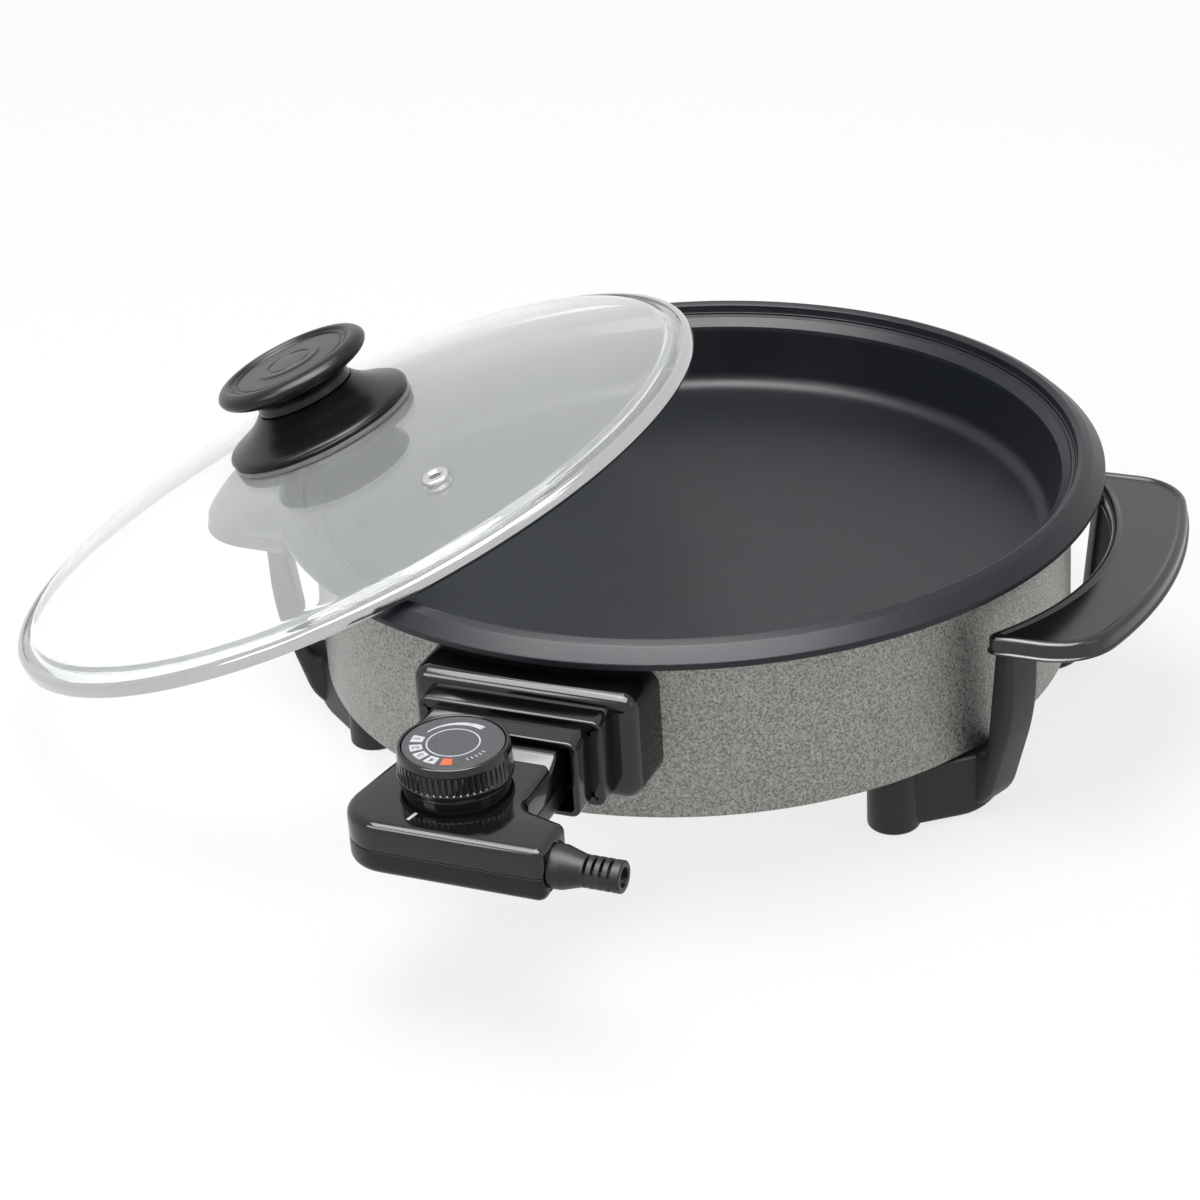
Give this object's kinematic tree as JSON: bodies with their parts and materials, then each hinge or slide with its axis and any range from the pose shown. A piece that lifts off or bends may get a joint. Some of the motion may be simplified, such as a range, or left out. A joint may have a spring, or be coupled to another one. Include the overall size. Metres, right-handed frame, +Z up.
{
  "type": "electric pizza pan with lid",
  "caption": "Electric pizza pan: shallow non-stick pan in a steel jacket on handle-and-leg mouldings, with a plug-in heat control and a domed glass lid leaning on its rim.",
  "frame": {"origin": "centre of the cooking surface, which is the pan's floor, on the pan's axis", "axes": "+Z up out of the pan, +X towards the right handle, -Y towards the socket and the plug-in heat control"},
  "size_m": [0.4658, 0.406, 0.148],
  "materials": {
    "nonstick": "satin dark non-stick coating on cast aluminium",
    "hammertone": "grey hammertone lacquer",
    "steel": "bright",
    "aluminium": "mill finish",
    "phenolic": "moulded black phenolic, glossy on top",
    "sheath": "oxidised dull sheath",
    "ceramic": "unglazed",
    "brass": "plain",
    "rubber": "satin black",
    "glass": "clear tempered",
    "silicone": "translucent grey",
    "print": "printed dark grey disc"
  },
  "bodies": {
    "base": {"pan": "nonstick", "body_jacket": "hammertone", "base_plate": "steel", "heat_reflector": "aluminium", "heating_element": "sheath", "element_clip_1": "steel", "element_clip_2": "steel", "element_clip_3": "steel", "element_clip_4": "steel", "terminal_pin_1": "steel", "terminal_pin_2": "steel", "terminal_bush_1": "ceramic", "terminal_bush_2": "ceramic", "socket_housing": "phenolic", "socket_screw_1": "steel", "socket_screw_2": "steel", "handle_right": "phenolic", "handle_left": "phenolic", "base_screw_1": "steel", "base_screw_2": "steel", "base_screw_3": "steel", "base_screw_4": "steel"},
    "control": {"control_top": "phenolic", "control_bottom": "phenolic", "case_screw_1": "steel", "case_screw_2": "steel", "case_screw_3": "steel", "cord_boot": "rubber", "sensor_rod": "steel", "pin_socket_1": "brass", "pin_socket_2": "brass", "switch_frame": "steel", "contact_leaf_1": "brass", "contact_leaf_2": "brass", "stack_insulator_1": "ceramic", "stack_insulator_2": "ceramic", "stack_insulator_3": "ceramic"},
    "dial_knob": {"dial": "phenolic", "dial_face": "print", "dial_stem": "steel"},
    "lid": {"lid_glass": "glass", "lid_rim": "steel", "steam_vent": "steel", "knob_base": "phenolic", "knob_gasket": "silicone", "knob_grip": "phenolic", "knob_washer": "steel", "knob_screw": "steel"}
  },
  "joints": [
    {"name": "lid_lift", "type": "slide", "parent": "base", "child": "lid", "axis": [0, 0, 1], "range_m": [0, 0.2]},
    {"name": "probe_unplug", "type": "slide", "parent": "base", "child": "control", "axis": [0, -1, 0], "range_m": [0, 0.125]},
    {"name": "dial_turn", "type": "hinge", "parent": "control", "child": "dial_knob", "pos_m": [-0.0029, -0.2122, 0.011], "axis": [0, 0, 1], "range_deg": [0, 270]}
  ]
}
